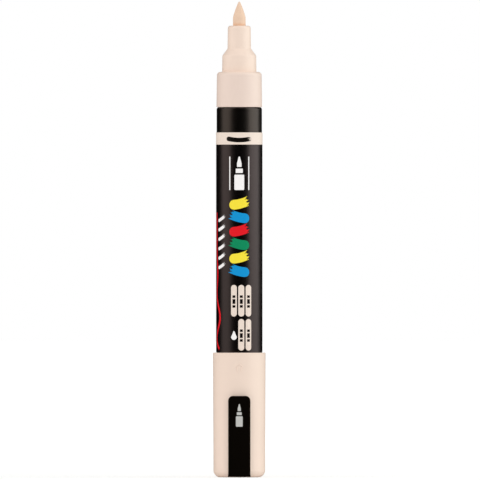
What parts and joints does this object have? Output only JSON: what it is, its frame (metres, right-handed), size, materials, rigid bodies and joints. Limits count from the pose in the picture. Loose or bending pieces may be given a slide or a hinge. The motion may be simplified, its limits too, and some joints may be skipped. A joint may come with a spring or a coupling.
{
  "type": "paint marker",
  "caption": "Pump-valve paint marker with a soft bullet brush tip in a stepped holder, a slim printed barrel with a loose mixing ball, and a clip cap posted on the tail.",
  "frame": {"origin": "centre of the flat closed end of the cap, which is posted on the tail", "axes": "+Z along the marker's axis towards the nib, the pocket clip on the -Y side, +X to the right of the printed face"},
  "size_m": [0.017, 0.0186, 0.1538],
  "materials": {
    "beige_plastic": "satin moulded beige",
    "inner_cap_plastic": "natural moulded",
    "clip_plastic": "smooth black",
    "barrel_plastic": "glossy black",
    "label_film": "glossy black printed film with a beige band",
    "nib_fibre": "bonded fibre soaked with paint",
    "seat_rubber": "smooth",
    "valve_plastic": "natural moulded",
    "spring_steel": "drawn wire",
    "ball_steel": "polished"
  },
  "bodies": {
    "cap": {"cap_shell": "beige_plastic", "inner_cap": "inner_cap_plastic"},
    "clip": {"cap_clip": "clip_plastic"},
    "barrel": {"barrel": "barrel_plastic", "barrel_label": "label_film", "tail_plug": "beige_plastic", "nib_holder": "beige_plastic", "valve_seat": "seat_rubber", "valve_cup": "valve_plastic", "valve_spring": "spring_steel"},
    "nib": {"brush_nib": "nib_fibre", "valve_plunger": "valve_plastic"},
    "ball": {"mixing_ball": "ball_steel"}
  },
  "joints": [
    {"name": "cap_pull", "type": "slide", "parent": "cap", "child": "barrel", "axis": [0, 0, 1], "range_m": [0, 0.035]},
    {"name": "nib_press", "type": "slide", "parent": "barrel", "child": "nib", "axis": [0, 0, -1], "range_m": [0, 0.0022], "stiffness_N_per_m": 600, "deforming": ["valve_spring"]},
    {"name": "ball_rattle", "type": "slide", "parent": "barrel", "child": "ball", "axis": [0, 0, 1], "range_m": [0, 0.082]},
    {"name": "clip_flex", "type": "hinge", "parent": "cap", "child": "clip", "pos_m": [0, -0.00743, 0.00195], "axis": [1, 0, 0], "range_deg": [0, 3.5], "stiffness_Nm_per_rad": 1}
  ]
}
